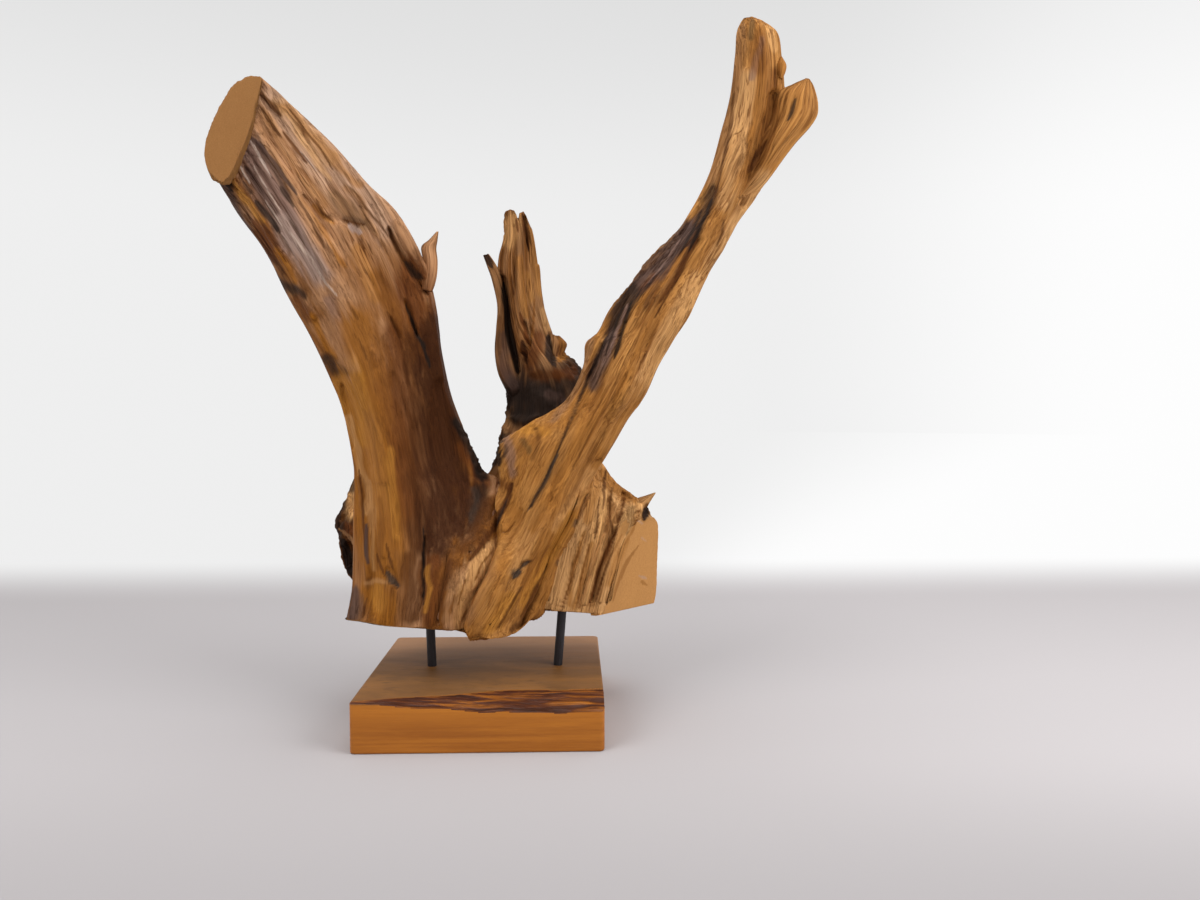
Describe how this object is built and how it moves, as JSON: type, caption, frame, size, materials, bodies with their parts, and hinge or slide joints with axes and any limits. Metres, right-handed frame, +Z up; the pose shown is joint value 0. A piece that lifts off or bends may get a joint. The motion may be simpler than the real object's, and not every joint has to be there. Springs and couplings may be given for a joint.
{
  "type": "wood sculpture",
  "caption": "Weathered root-wood sculpture with spreading broken limbs, standing on thin steel rods in a square wood block with a dark live edge",
  "frame": {"origin": "centre of the block's underside", "axes": "+Z up, the front with the live edge faces -Y, +X to the right as seen from the front"},
  "size_m": [0.5263, 0.2, 0.613],
  "materials": {
    "old_wood": "weathered, fibrous, oiled in places",
    "block_wood": "sanded and oiled, dark live edge at the front",
    "rod_steel": "black, satin"
  },
  "bodies": {
    "root": {"base_block": "block_wood", "rod_left": "rod_steel", "rod_right": "rod_steel", "left_limb": "old_wood", "right_limb": "old_wood", "right_root": "old_wood", "middle_spur": "old_wood", "left_burl": "old_wood"}
  },
  "joints": []
}
